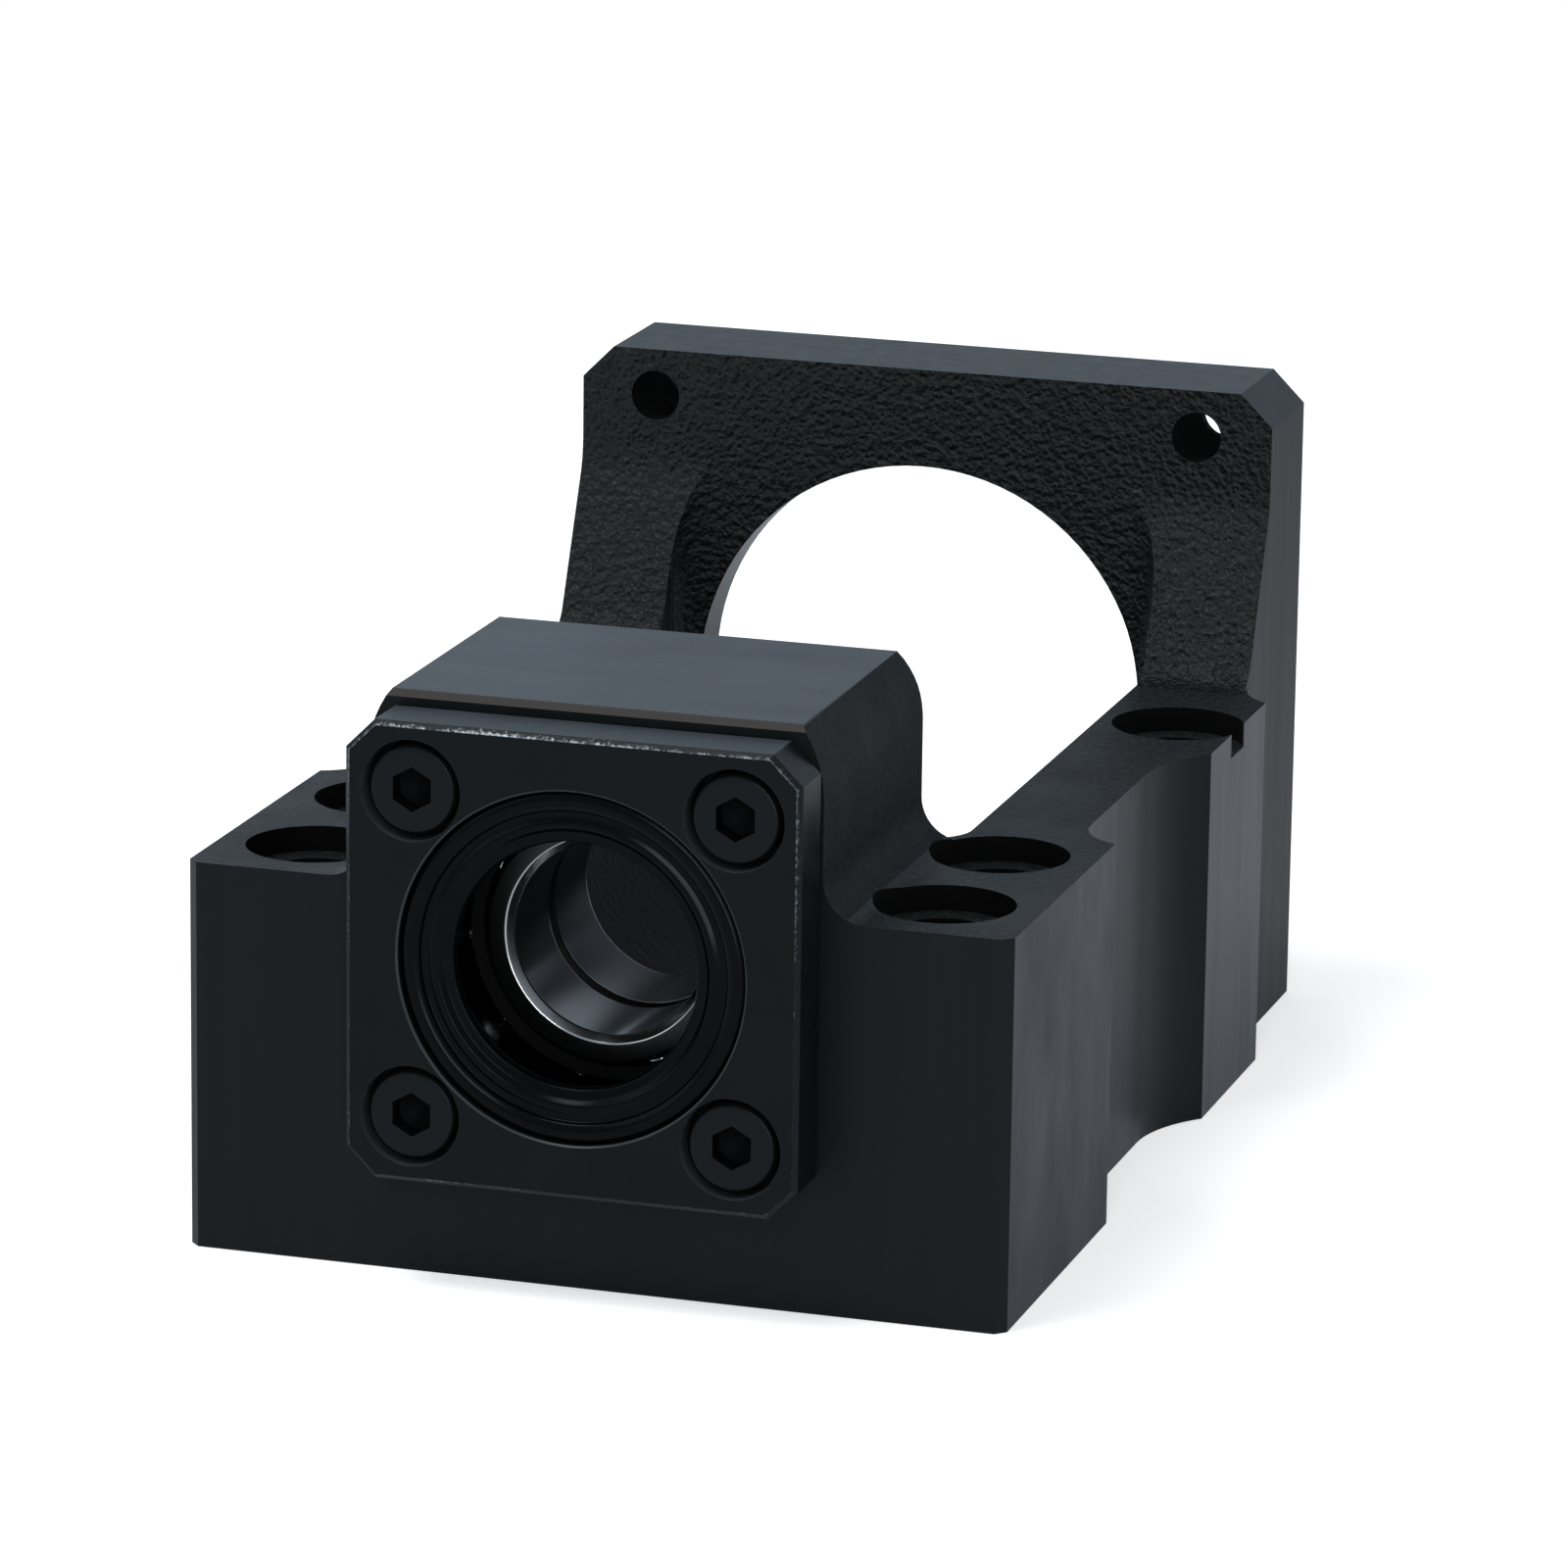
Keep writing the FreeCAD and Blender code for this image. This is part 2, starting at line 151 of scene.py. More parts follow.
fettledCasting = {
    "dark": "#0c0e0e", "light": "#1a1c1b",
    "grainMm": 0.4, "heightMm": 0.06,      # real grit is about 0.15 mm, drawn coarser so that it shows
    "gritRange": (0.35, 0.65), "cloudMm": 6.0,
    "smooth": 0.54, "rough": 0.66, "gloss": 0.05,
}
# upward faces: the fettled casting drawn lighter and glossier, as painted light from above
litShelfCasting = {
    "dark": "#0d0f0f", "light": "#1f2222",
    "grainMm": 0.4, "heightMm": 0.05,
    "gritRange": (0.35, 0.65), "cloudMm": 6.0,
    "smooth": 0.44, "rough": 0.54, "gloss": 0.09,
}


# The same iron, fettled and shot-blasted before blackening: an even fine grain, a little cloudy
def blackenedFettledCasting(name, look):
    material, tree, shader = newMaterial(name, {"Specular IOR Level": look["gloss"]})
    place = addNode(tree, "ShaderNodeTexCoord").outputs["Object"]
    grain = addNode(tree, "ShaderNodeTexNoise", {
        "Scale": 1 / (look["grainMm"] * mm), "Detail": 2.0}, {"Vector": place})
    clouds = addNode(tree, "ShaderNodeTexNoise", {
        "Scale": 1 / (look["cloudMm"] * mm), "Detail": 4.0}, {"Vector": place})
    bump = addNode(tree, "ShaderNodeBump", {"Strength": 1.0, "Distance": look["heightMm"] * mm}, {
        "Height": grain.outputs["Fac"]})
    sheen = addNode(tree, "ShaderNodeMapRange", {
        "From Min": noiseRange[0], "From Max": noiseRange[1],
        "To Min": look["smooth"], "To Max": look["rough"]}, {
        "Value": clouds.outputs["Fac"]})
    grit = addNode(tree, "ShaderNodeMapRange", {
        "From Min": look["gritRange"][0], "From Max": look["gritRange"][1]}, {"Value": grain.outputs["Fac"]})
    tone = addNode(tree, "ShaderNodeMix", {
        "data_type": "RGBA", 6: linear(look["dark"]), 7: linear(look["light"])}, {0: grit.outputs[0]})
    tree.links.new(tone.outputs[2], shader.inputs["Base Color"])
    tree.links.new(sheen.outputs[0], shader.inputs["Roughness"])
    tree.links.new(bump.outputs[0], shader.inputs["Normal"])
    return material


# a cutter's feed lines are nearer 0.1 mm, drawn coarser on all of these so that they show
milledIron = {
    "dark": "#0d0f10", "light": "#131617",
    "passMm": 1.5, "lineMm": 0.4, "lineHeightMm": 0.002,
    "smooth": 0.35, "rough": 0.41, "gloss": 0.075,
    "along": (1, 1, 0.05),
}
blockSideIron = {
    "dark": "#0c0f11", "light": "#15191b",
    "passMm": 5.0, "lineMm": 0.4, "lineHeightMm": 0.001,
    "smooth": 0.33, "rough": 0.45, "gloss": 0.045,
    "along": (1, 1, 0.4),
}
# the motor plate's sides: warmer in tone and duller in sheen than the other milled faces
plateEdgeIron = {
    "dark": "#131312", "light": "#1b1a19",
    "passMm": 2.0, "lineMm": 0.4, "lineHeightMm": 0.002,
    "smooth": 0.37, "rough": 0.43, "gloss": 0.022,
    "along": (1, 1, 0.05),
}
# the boss top: ground smoother, and drawn a little lighter and bluer as painted light from above
litBossTopIron = {
    "dark": "#0e1316", "light": "#151b1f",
    "passMm": 5.0, "lineMm": 0.3, "lineHeightMm": 0.002,
    "smooth": 0.24, "rough": 0.3, "gloss": 0.08,
    "along": (0.3, 1, 1),
}
boredIron = {
    "dark": "#0d1012", "light": "#131719",
    "passMm": 2.0, "lineMm": 0.3, "lineHeightMm": 0.002,
    "smooth": 0.34, "rough": 0.4, "gloss": 0.06,
    "along": aroundAxis,
}
# the boss's upward front bevel: much lighter and warmer than the other cut faces
bossBevelIron = {
    "dark": "#23211f", "light": "#33302d",
    "passMm": 2.0, "lineMm": 0.4, "lineHeightMm": 0.002,
    "smooth": 0.4, "rough": 0.46, "gloss": 0.08,
    "along": (0.05, 1, 1),
}
# hole walls: the cut iron drawn darker and duller, as painted shade inside the holes
shadedHoleIron = {
    "dark": "#070707", "light": "#0d0d0c",
    "passMm": 1.0, "lineMm": 0.3, "lineHeightMm": 0.002,
    "smooth": 0.56, "rough": 0.64, "gloss": 0.02,
    "along": (1, 1, 1),
}


# Iron cut to size and blackened in hot salts under oil: satin, with faint streaks the way the cutter went
def blackenedCutIron(name, look):
    material, tree, shader = newMaterial(name, {"Specular IOR Level": look["gloss"]})
    place = addNode(tree, "ShaderNodeTexCoord")
    along = addNode(tree, "ShaderNodeMapping", {"Scale": look["along"]}, {
        "Vector": place.outputs["Object"]}).outputs[0]
    passes = addNode(tree, "ShaderNodeTexNoise", {
        "Scale": 1 / (look["passMm"] * mm), "Detail": 4.0, "Roughness": 0.6}, {"Vector": along})
    lines = addNode(tree, "ShaderNodeTexNoise", {
        "Scale": 1 / (look["lineMm"] * mm), "Detail": 1.0}, {"Vector": along})
    bump = addNode(tree, "ShaderNodeBump", {"Strength": 1.0, "Distance": look["lineHeightMm"] * mm}, {
        "Height": lines.outputs["Fac"]})
    sheen = addNode(tree, "ShaderNodeMapRange", {
        "From Min": noiseRange[0], "From Max": noiseRange[1],
        "To Min": look["smooth"], "To Max": look["rough"]}, {
        "Value": passes.outputs["Fac"]})
    tone = addNode(tree, "ShaderNodeMix", {
        "data_type": "RGBA", 6: linear(look["dark"]), 7: linear(look["light"])}, {
        0: passes.outputs["Fac"]})
    tree.links.new(tone.outputs[2], shader.inputs["Base Color"])
    tree.links.new(sheen.outputs[0], shader.inputs["Roughness"])
    tree.links.new(bump.outputs[0], shader.inputs["Normal"])
    return material


coverSteel = {
    "dark": "#0a0c0d", "light": "#0f1213",
    "mottleMm": 4.0, "smooth": 0.24, "rough": 0.32, "gloss": 0.06,
}
# the cover's top face: drawn much lighter, as painted light from above
litCoverTop = {
    "dark": "#262b2f", "light": "#343a3f",
    "mottleMm": 4.0, "smooth": 0.4, "rough": 0.5, "gloss": 0.12,
}
coverLeadIn = {
    "dark": "#22272a", "light": "#343a3d",
    "mottleMm": 4.0, "smooth": 0.24, "rough": 0.32, "gloss": 0.1,
}


# Mild steel, ground and blackened: a cool satin black, greyer where it was turned or bored; its top drawn
# greyer as painted light from above
def blackenedCoverSteel(name, look):
    material, tree, shader = newMaterial(name, {"Specular IOR Level": look["gloss"]})
    place = addNode(tree, "ShaderNodeTexCoord").outputs["Object"]
    mottle = addNode(tree, "ShaderNodeTexNoise", {
        "Scale": 1 / (look["mottleMm"] * mm), "Detail": 4.0}, {"Vector": place})
    sheen = addNode(tree, "ShaderNodeMapRange", {
        "From Min": noiseRange[0], "From Max": noiseRange[1],
        "To Min": look["smooth"], "To Max": look["rough"]}, {
        "Value": mottle.outputs["Fac"]})
    tone = addNode(tree, "ShaderNodeMix", {
        "data_type": "RGBA", 6: linear(look["dark"]), 7: linear(look["light"])}, {
        0: mottle.outputs["Fac"]})
    tree.links.new(tone.outputs[2], shader.inputs["Base Color"])
    tree.links.new(sheen.outputs[0], shader.inputs["Roughness"])
    return material


rubbedEdge = {
    "black": "#14181a", "bare": "#6c7275", "roughness": 0.36, "gloss": 0.06,
    "speckMm": 0.28, "patchMm": 6.0, "patchShare": 0.35, "bareRange": (0.58, 0.86),
    "frontMm": 0.3, "onFace": 0.06, "behindFace": -0.2,     # the wear fades this far behind the cover's face
    "highMm": 44, "lowMm": 26, "lowDown": -0.16,            # and from the top down to the middle
}


# The same steel on its front edges, where handling has rubbed the black through to bare metal in specks
def rubbedBlackSteel():
    material, tree, shader = newMaterial("rubbedBlackSteel", {
        "Roughness": rubbedEdge["roughness"], "Specular IOR Level": rubbedEdge["gloss"]})
    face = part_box("bearing_cover")[0].y
    place = addNode(tree, "ShaderNodeTexCoord").outputs["Object"]
    specks = addNode(tree, "ShaderNodeTexNoise", {
        "Scale": 1 / (rubbedEdge["speckMm"] * mm), "Detail": 4.0, "Roughness": 0.7}, {"Vector": place})
    patches = addNode(tree, "ShaderNodeTexNoise", {
        "Scale": 1 / (rubbedEdge["patchMm"] * mm), "Detail": 1.0}, {"Vector": place})
    where = addNode(tree, "ShaderNodeSeparateXYZ", links={"Vector": place})
    top = addNode(tree, "ShaderNodeMapRange", {
        "From Min": rubbedEdge["lowMm"] * mm, "From Max": rubbedEdge["highMm"] * mm,
        "To Min": rubbedEdge["lowDown"], "To Max": 0.0}, {"Value": where.outputs["Z"]})
    arris = addNode(tree, "ShaderNodeMapRange", {
        "From Min": face, "From Max": face + rubbedEdge["frontMm"] * mm,
        "To Min": rubbedEdge["onFace"], "To Max": rubbedEdge["behindFace"]}, {"Value": where.outputs["Y"]})
    worn = addNode(tree, "ShaderNodeMath", {"operation": "MULTIPLY_ADD", 1: rubbedEdge["patchShare"]}, {
        0: patches.outputs["Fac"], 2: specks.outputs["Fac"]})
    higher = addNode(tree, "ShaderNodeMath", {"operation": "ADD"}, {0: worn.outputs[0], 1: top.outputs[0]})
    most = addNode(tree, "ShaderNodeMath", {"operation": "ADD"}, {
        0: higher.outputs[0], 1: arris.outputs[0]})
    bare = addNode(tree, "ShaderNodeMapRange", {
        "From Min": rubbedEdge["bareRange"][0], "From Max": rubbedEdge["bareRange"][1]}, {
        "Value": most.outputs[0]})
    tone = addNode(tree, "ShaderNodeMix", {
        "data_type": "RGBA", 6: linear(rubbedEdge["black"]), 7: linear(rubbedEdge["bare"])}, {
        0: bare.outputs[0]})
    tree.links.new(tone.outputs[2], shader.inputs["Base Color"])
    tree.links.new(bare.outputs[0], shader.inputs["Metallic"])
    return material


# a forged and blackened skin has a grain of about 0.1 mm, drawn coarser so that it shows
screwSteel = {"colour": "#0e1113", "gloss": 0.07, "roughness": 0.26, "grainMm": 0.3, "heightMm": 0.006}
# sockets and the screws' sides: drawn darker and duller, as painted shade
shadedSocketSteel = {"colour": "#070808", "gloss": 0.02, "roughness": 0.5, "grainMm": 0.3, "heightMm": 0.01}


# Heat-treated alloy steel, forged and blackened: satin on the heads; darker and dull in the sockets and
# round the sides, as painted shade
def blackenedScrewSteel(name, look):
    material, tree, shader = newMaterial(name, {
        "Base Color": linear(look["colour"]), "Roughness": look["roughness"],
        "Specular IOR Level": look["gloss"]})
    place = addNode(tree, "ShaderNodeTexCoord").outputs["Object"]
    grain = addNode(tree, "ShaderNodeTexNoise", {
        "Scale": 1 / (look["grainMm"] * mm), "Detail": 3.0}, {"Vector": place})
    bump = addNode(tree, "ShaderNodeBump", {"Strength": 1.0, "Distance": look["heightMm"] * mm}, {
        "Height": grain.outputs["Fac"]})
    tree.links.new(bump.outputs[0], shader.inputs["Normal"])
    return material


# the mould's turning lines are nearer 0.1 mm, drawn coarser so that they show
sealRubber = {"colour": "#020303", "gloss": 0.05, "roughness": 0.2, "ringMm": 0.5, "heightMm": 0.004}


# Nitrile rubber, moulded: deep black and glossy, with fine rings from the turned mould
def mouldedNitrile():
    material, tree, shader = newMaterial("mouldedNitrile", {
        "Base Color": linear(sealRubber["colour"]), "Roughness": sealRubber["roughness"],
        "Specular IOR Level": sealRubber["gloss"]})
    place = addNode(tree, "ShaderNodeTexCoord")
    fromAxis = addNode(tree, "ShaderNodeVectorMath", {"operation": "SUBTRACT", 1: axisPoint}, {
        0: place.outputs["Object"]})
    flat = addNode(tree, "ShaderNodeVectorMath", {"operation": "MULTIPLY", 1: (1, 0, 1)}, {
        0: fromAxis.outputs[0]})
    radius = addNode(tree, "ShaderNodeVectorMath", {"operation": "LENGTH"}, {0: flat.outputs[0]})
    perMetre = 2 * math.pi / (sealRubber["ringMm"] * mm)
    turns = addNode(tree, "ShaderNodeMath", {"operation": "MULTIPLY", 1: perMetre}, {
        0: radius.outputs["Value"]})
    rings = addNode(tree, "ShaderNodeMath", {"operation": "SINE"}, {0: turns.outputs[0]})
    bump = addNode(tree, "ShaderNodeBump", {"Strength": 0.4, "Distance": sealRubber["heightMm"] * mm}, {
        "Height": rings.outputs[0]})
    tree.links.new(bump.outputs[0], shader.inputs["Normal"])
    return material


# grinding lines are finer than 0.1 mm, drawn coarser so that they show
ringSteel = {"colour": "#605f5e", "roughness": 0.17, "lineMm": 0.5, "heightMm": 0.001}
# the rings' flat sides: drawn darker, as painted shade
shadedRingFaceSteel = {"colour": "#2c2c2b", "roughness": 0.3, "lineMm": 0.5, "heightMm": 0.002}
# the bore's lips: drawn lighter, as painted highlight
highlitRingLipSteel = {"colour": "#8e8d8b", "roughness": 0.16, "lineMm": 0.5, "heightMm": 0.001}


# Through-hardened bearing steel, ground: faintly lined round the axis; drawn lighter at the lips as painted
# highlight, and darker on the flat sides as painted shade
def groundBearingSteel(name, look):
    material, tree, shader = newMaterial(name, {
        "Base Color": linear(look["colour"]), "Metallic": 1.0, "Roughness": look["roughness"]})
    place = addNode(tree, "ShaderNodeTexCoord")
    along = addNode(tree, "ShaderNodeMapping", {"Scale": aroundAxis}, {"Vector": place.outputs["Object"]})
    lines = addNode(tree, "ShaderNodeTexNoise", {
        "Scale": 1 / (look["lineMm"] * mm), "Detail": 2.0}, {"Vector": along.outputs[0]})
    bump = addNode(tree, "ShaderNodeBump", {"Strength": 1.0, "Distance": look["heightMm"] * mm}, {
        "Height": lines.outputs["Fac"]})
    tree.links.new(bump.outputs[0], shader.inputs["Normal"])
    return material


ballSteel = {"colour": "#c6c8ca", "smooth": 0.05, "rough": 0.09, "smearMm": 1.5}


# The same steel lapped to a mirror, with thin smears of grease
def lappedBallSteel():
    material, tree, shader = newMaterial("lappedBallSteel", {
        "Base Color": linear(ballSteel["colour"]), "Metallic": 1.0})
    place = addNode(tree, "ShaderNodeTexCoord").outputs["Object"]
    smears = addNode(tree, "ShaderNodeTexNoise", {
        "Scale": 1 / (ballSteel["smearMm"] * mm), "Detail": 3.0}, {"Vector": place})
    sheen = addNode(tree, "ShaderNodeMapRange", {
        "To Min": ballSteel["smooth"], "To Max": ballSteel["rough"]}, {"Value": smears.outputs["Fac"]})
    tree.links.new(sheen.outputs[0], shader.inputs["Roughness"])
    return material


cagePlastic = {
    "dark": "#0a0a0a", "light": "#121211",
    "fibreMm": 0.4, "heightMm": 0.006,      # the fibres are about 0.01 mm thick, drawn coarser
    "along": (1, 0.25, 1),
    "roughness": 0.5, "gloss": 0.06,
}


# Glass-filled polyamide, moulded in black: dull, with short fibres just under the skin
def filledPolyamide():
    material, tree, shader = newMaterial("filledPolyamide", {
        "Roughness": cagePlastic["roughness"], "Specular IOR Level": cagePlastic["gloss"]})
    place = addNode(tree, "ShaderNodeTexCoord")
    along = addNode(tree, "ShaderNodeMapping", {"Scale": cagePlastic["along"]}, {
        "Vector": place.outputs["Object"]})
    fibres = addNode(tree, "ShaderNodeTexNoise", {
        "Scale": 1 / (cagePlastic["fibreMm"] * mm), "Detail": 3.0}, {"Vector": along.outputs[0]})
    bump = addNode(tree, "ShaderNodeBump", {"Strength": 1.0, "Distance": cagePlastic["heightMm"] * mm}, {
        "Height": fibres.outputs["Fac"]})
    tone = addNode(tree, "ShaderNodeMix", {
        "data_type": "RGBA", 6: linear(cagePlastic["dark"]), 7: linear(cagePlastic["light"])}, {
        0: fibres.outputs["Fac"]})
    tree.links.new(tone.outputs[2], shader.inputs["Base Color"])
    tree.links.new(bump.outputs[0], shader.inputs["Normal"])
    return material


castFinish = blackenedSandCasting("blackenedSandCasting", sandCasting)
pocketFinish = blackenedSandCasting("dullSandCasting", pocketCasting)
fettledFinish = blackenedFettledCasting("blackenedFettledCasting", fettledCasting)
litShelfFinish = blackenedFettledCasting("litShelfFettledCasting", litShelfCasting)
milledFinish = blackenedCutIron("blackenedMilledIron", milledIron)
blockSideFinish = blackenedCutIron("blackenedSideMilledIron", blockSideIron)
plateEdgeFinish = blackenedCutIron("warmDullMilledIron", plateEdgeIron)
litBossTopFinish = blackenedCutIron("litTopGroundIron", litBossTopIron)
bossBevelFinish = blackenedCutIron("lightWarmBevelledIron", bossBevelIron)
boredFinish = blackenedCutIron("blackenedBoredIron", boredIron)
shadedHoleFinish = blackenedCutIron("shadedDrilledIron", shadedHoleIron)
coverFinish = blackenedCoverSteel("blackenedCoverSteel", coverSteel)
litCoverTopFinish = blackenedCoverSteel("litTopCoverSteel", litCoverTop)
leadInFinish = blackenedCoverSteel("turnedCoverSteel", coverLeadIn)
rubbedFinish = rubbedBlackSteel()
screwFinish = blackenedScrewSteel("blackenedScrewSteel", screwSteel)
shadedSocketFinish = blackenedScrewSteel("shadedScrewSteel", shadedSocketSteel)
sealFinish = mouldedNitrile()
ringFinish = groundBearingSteel("groundBearingSteel", ringSteel)
shadedRingFaceFinish = groundBearingSteel("shadedBearingSteel", shadedRingFaceSteel)
highlitRingLipFinish = groundBearingSteel("highlitBearingSteel", highlitRingLipSteel)
ballFinish = lappedBallSteel()
cageFinish = filledPolyamide()
print("materials ready:", len(bpy.data.materials))


copiedMesh = {"weldM": 1e-6, "cutM": 1e-7, "flatDegrees": 0.2, "sharpDegrees": 26}


# a new piece with a CAD node's shape, its flat faces whole again, that stands in the node's place
def pieceFrom(nodeName, pieceName, bodyName):
    mesh = nodes[nodeName].data.copy()
    mesh.name = pieceName
    mesh.materials.clear()
    work = bmesh.new()
    work.from_mesh(mesh)
    bmesh.ops.remove_doubles(work, verts=work.verts, dist=copiedMesh["weldM"])
    bmesh.ops.dissolve_limit(work, angle_limit=math.radians(copiedMesh["flatDegrees"]),
                             verts=work.verts, edges=work.edges)
    work.to_mesh(mesh)
    work.free()
    if "custom_normal" in mesh.attributes:
        mesh.attributes.remove(mesh.attributes["custom_normal"])
    piece = bpy.data.objects.new(pieceName, mesh)
    scene.collection.objects.link(piece)
    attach(piece, bodyName)
    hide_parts(nodeName)
    return piece


# a new piece with a shape made here, that doesn't move
def fixedPiece(work, pieceName, finish):
    bmesh.ops.recalc_face_normals(work, faces=work.faces)
    mesh = bpy.data.meshes.new(pieceName)
    work.to_mesh(mesh)
    work.free()
    mesh.materials.append(finish)
    piece = bpy.data.objects.new(pieceName, mesh)
    scene.collection.objects.link(piece)
    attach(piece, "frame")
    return piece


def breakEdges(piece, widthMm, segments=2):
    sharp = math.radians(copiedMesh["sharpDegrees"])
    piece.data.shade_smooth()
    piece.data.set_sharp_from_angle(angle=sharp)
    edge = piece.modifiers.new("brokenEdges", "BEVEL")
    edge.width = widthMm * mm
    edge.segments = segments
    edge.limit_method = "ANGLE"
    edge.angle_limit = sharp
    edge.harden_normals = True


# each face's finish, from its place in mm and the way it looks, both with the left mirrored to the right
def paint(piece, finishes, choose):
    for finish in finishes:
        piece.data.materials.append(finish)
    for face in piece.data.polygons:
        place = Vector((abs(face.center.x), face.center.y - frontY, face.center.z)) / mm
        turn = Vector((math.copysign(1, face.center.x) * face.normal.x, face.normal.y, face.normal.z))
        face.material_index = finishes.index(choose(place, turn))


# how far a face looks along an axis, as a cosine
squarely, nearly, partly, slightly = 0.95, 0.9, 0.5, 0.2


# the first rule that fits a face decides
def housingFinish(place, turn):
    near = casting["near"]
    up = place.z - casting["axisHeight"]
    fromAxis = math.hypot(place.x, up)
    spotReach = casting["spotRadius"] + near
    if any(math.hypot(place.x - x, place.y - y) < spotReach for x, y in casting["boltHoles"]):
        if place.z < casting["shelf"] - near / 2 and place.x < casting["footReach"]:
            return litShelfFinish if turn.z > partly else shadedHoleFinish
    if fromAxis < casting["recessRadius"] + 2 * near and abs(turn.y) < partly:
        inSeat = place.y < casting["bossDepth"] - near and fromAxis < casting["seatReach"]
        if inSeat or place.y > casting["plateFront"] + near:
            return boredFinish
    fromMotorHole = math.hypot(place.x - casting["motorHole"], abs(up) - casting["motorHole"])
    if fromMotorHole < casting["motorHoleReach"] and abs(turn.y) < partly:
        return shadedHoleFinish
    if turn.x > squarely and place.x > casting["plateHalf"] - near:
        if place.y > casting["gussetToe"]:
            return plateEdgeFinish
        return blockSideFinish if place.y < casting["blockDepth"] + near else milledFinish
    outside = place.x > casting["plateHalf"] - casting["bevelReach"]
    if outside and turn.x > slightly and place.z < casting["shelf"]:
        return milledFinish
    atFront = place.y < casting["bevelReach"]
    if atFront and turn.z > partly and place.z > casting["bossTop"] - casting["bevelReach"]:
        return bossBevelFinish
    onMotorFace = turn.y > nearly and place.y > casting["plateFront"]
    if atFront or onMotorFace or place.z < near:
        return milledFinish
    if place.z > casting["plateTop"] - casting["plateBevelReach"] and turn.z > partly:
        return milledFinish
    if place.y < casting["bossDepth"] and place.z > casting["bossTop"] - near / 2:
        return litBossTopFinish
    if place.y > casting["gussetToe"] and place.z > casting["shelf"] + near / 10:
        return castFinish
    inPocket = casting["bossDepth"] - near < place.y < casting["plateFront"] + near
    if inPocket and place.x < casting["pocketHalf"] + near:
        return pocketFinish
    return litShelfFinish if turn.z > nearly else fettledFinish


motorThread = {
    "pitchMm": 0.8, "rootMm": 2.46, "crestMm": 2.07, "crestWidthMm": 0.1, "rootGapMm": 0.04,
    "biteMm": 0.02,         # the ridge starts this deep in the hole's wall
    "onWallMm": 0.03,       # and a point this close to the wall counts as on it
    "lipMm": 0.35, "stepsPerTurn": 32,
}


# each motor hole: its place across, height, front and back
def motorHoles():
    holes = []
    high = casting["axisHeight"] + casting["motorHole"]
    low = casting["axisHeight"] - casting["motorHole"]
    blindEnd = casting["motorFace"] - casting["blindDepth"]
    for x in (-casting["motorHole"], casting["motorHole"]):
        holes.append((x, high, casting["plateFront"], casting["motorFace"]))
        holes.append((x, low, blindEnd, casting["motorFace"]))
    return holes


# whether a vertex is on a motor hole's wall, between two places along it
def onHoleWall(vertex, centre, start, end):
    fromHole = Vector((vertex.co.x, 0, vertex.co.z)) - centre
    along = (vertex.co.y - frontY) / mm
    fromWall = abs(fromHole.length / mm - casting["motorHoleRadius"])
    return fromWall < motorThread["onWallMm"] and start - casting["near"] < along < end + casting["near"]


# the holes' walls, cut back to the thread's root behind a short lip at each end
def openMotorHoles(piece):
    work = bmesh.new()
    work.from_mesh(piece.data)
    for x, z, front, back in motorHoles():
        centre = Vector((x * mm, 0, z * mm))
        ends = (front + motorThread["lipMm"], back - motorThread["lipMm"])
        for end in ends:
            wall = [face for face in work.faces
                    if all(onHoleWall(vertex, centre, front, back) for vertex in face.verts)]
            edges = {edge for face in wall for edge in face.edges}
            bmesh.ops.bisect_plane(work, geom=wall + list(edges), dist=copiedMesh["cutM"],
                                   plane_co=(0, frontY + end * mm, 0), plane_no=(0, 1, 0))
        for vertex in work.verts:
            if onHoleWall(vertex, centre, *ends):
                fromHole = Vector((vertex.co.x, 0, vertex.co.z)) - centre
                vertex.co += fromHole * (motorThread["rootMm"] / casting["motorHoleRadius"] - 1)
    work.to_mesh(piece.data)
    work.free()


# one ridge wound up each hole
def woundThread():
    pitch, lip, steps = motorThread["pitchMm"], motorThread["lipMm"], motorThread["stepsPerTurn"]
    sunk, crest = motorThread["rootMm"] + motorThread["biteMm"], motorThread["crestMm"]
    halfBase = (pitch - motorThread["rootGapMm"]) / 2
    halfCrest = motorThread["crestWidthMm"] / 2
    profile = [(sunk, -halfBase), (crest, -halfCrest), (crest, halfCrest), (sunk, halfBase)]
    work = bmesh.new()
    for x, z, front, back in motorHoles():
        first = front + lip + pitch / 2
        turns = (back - lip - pitch / 2 - first) / pitch
        last = None
        for step in range(int(turns * steps) + 1):
            angle = 2 * math.pi * step / steps
            start = first + pitch * step / steps
            here = []
            for radius, shift in profile:
                across = (x + radius * math.cos(angle)) * mm
                height = (z + radius * math.sin(angle)) * mm
                here.append(work.verts.new((across, frontY + (start + shift) * mm, height)))
            if last is None:
                work.faces.new(here)
            else:
                for a, b in ((0, 1), (1, 2), (2, 3), (3, 0)):
                    work.faces.new((last[a], last[b], here[b], here[a]))
            last = here
        work.faces.new(last)
    fixedPiece(work, "motorHoleThreads", shadedHoleFinish)


housing = pieceFrom("housing", "castHousing", "frame")
openMotorHoles(housing)
paint(housing, [castFinish, pocketFinish, fettledFinish, litShelfFinish, milledFinish, blockSideFinish,
                plateEdgeFinish, litBossTopFinish, bossBevelFinish, boredFinish, shadedHoleFinish], housingFinish)
woundThread()
breakEdges(housing, casting["edge"])
print("housing dressed:", len(housing.data.polygons), "faces")

